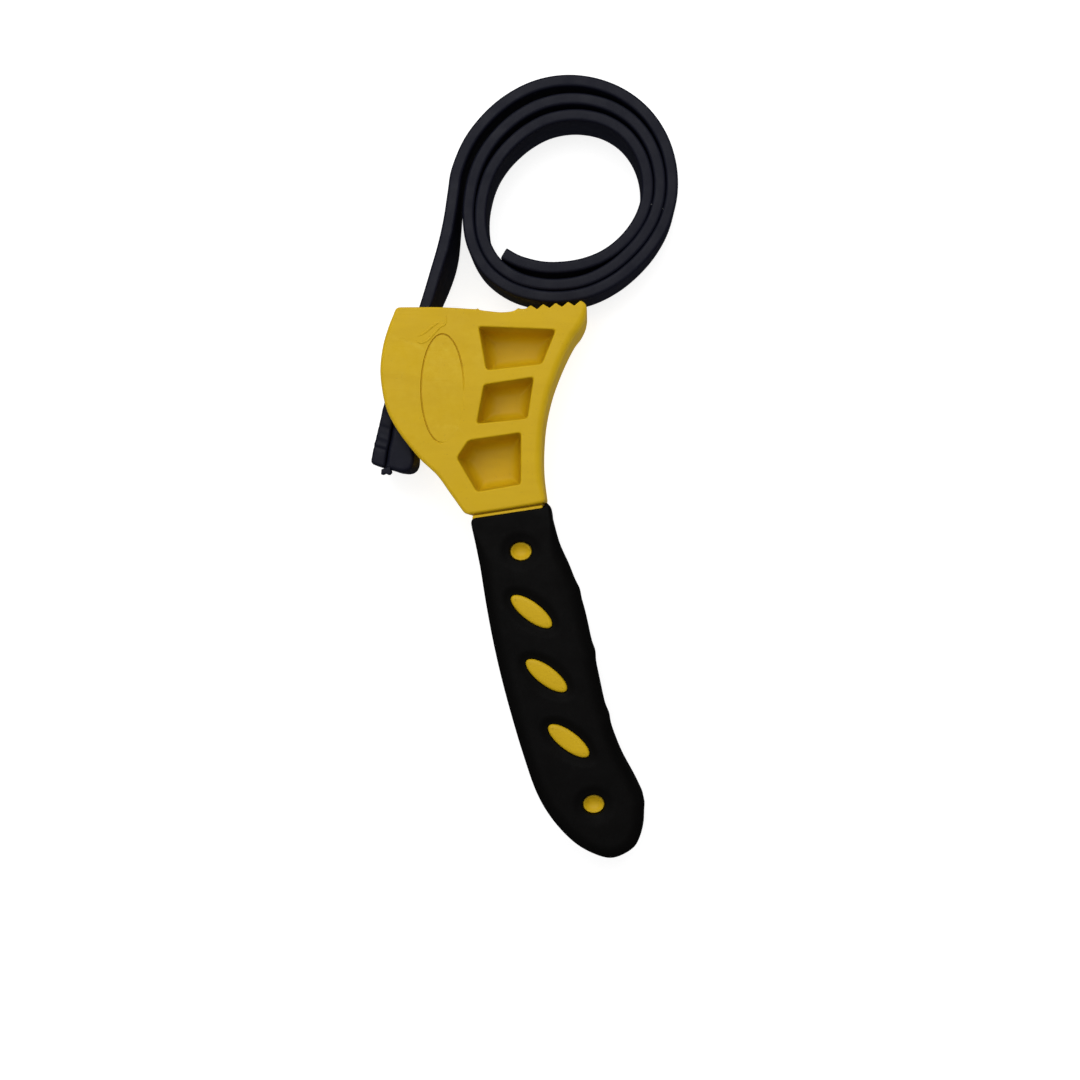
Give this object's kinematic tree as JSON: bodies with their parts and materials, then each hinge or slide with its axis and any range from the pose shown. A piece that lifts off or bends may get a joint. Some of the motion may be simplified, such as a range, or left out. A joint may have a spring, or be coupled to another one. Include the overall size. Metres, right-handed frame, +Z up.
{
  "type": "oil filter wrench",
  "caption": "Rubber strap wrench: a belt runs through the slotted, toothed head of a gripped handle, loops round an oil filter and is jammed by a wedge on its end.",
  "frame": {"origin": "middle of the whole tool's box, coil included, on the surface that it lies on", "axes": "+Z up from the surface, square to the flat faces of the head; +Y from the grip towards the head and the coil; +X from the slot side of the head towards its toothed nose"},
  "size_m": [0.0844, 0.2134, 0.024],
  "materials": {
    "yellow_plastic": "satin moulded plastic",
    "grip_rubber": "matte soft rubber",
    "belt_rubber": "smooth moulded rubber",
    "cord_fabric": "woven cord"
  },
  "bodies": {
    "handle": {"handle_frame": "yellow_plastic", "grip_sleeve": "grip_rubber"},
    "belt_end": {"belt_lead": "belt_rubber", "lead_cord_ply": "cord_fabric", "stop_wedge": "belt_rubber"},
    "belt_free": {"belt_coil": "belt_rubber", "coil_cord_ply": "cord_fabric"}
  },
  "joints": [
    {"name": "belt_slide", "type": "slide", "parent": "handle", "child": "belt_end", "axis": [0.3007, 0.9537, 0], "range_m": [0, 0.006]},
    {"name": "belt_bend", "type": "hinge", "parent": "belt_end", "child": "belt_free", "pos_m": [-0.02743, 0.04257, 0.012], "axis": [0, 0, 1], "range_deg": [0, 30]}
  ]
}
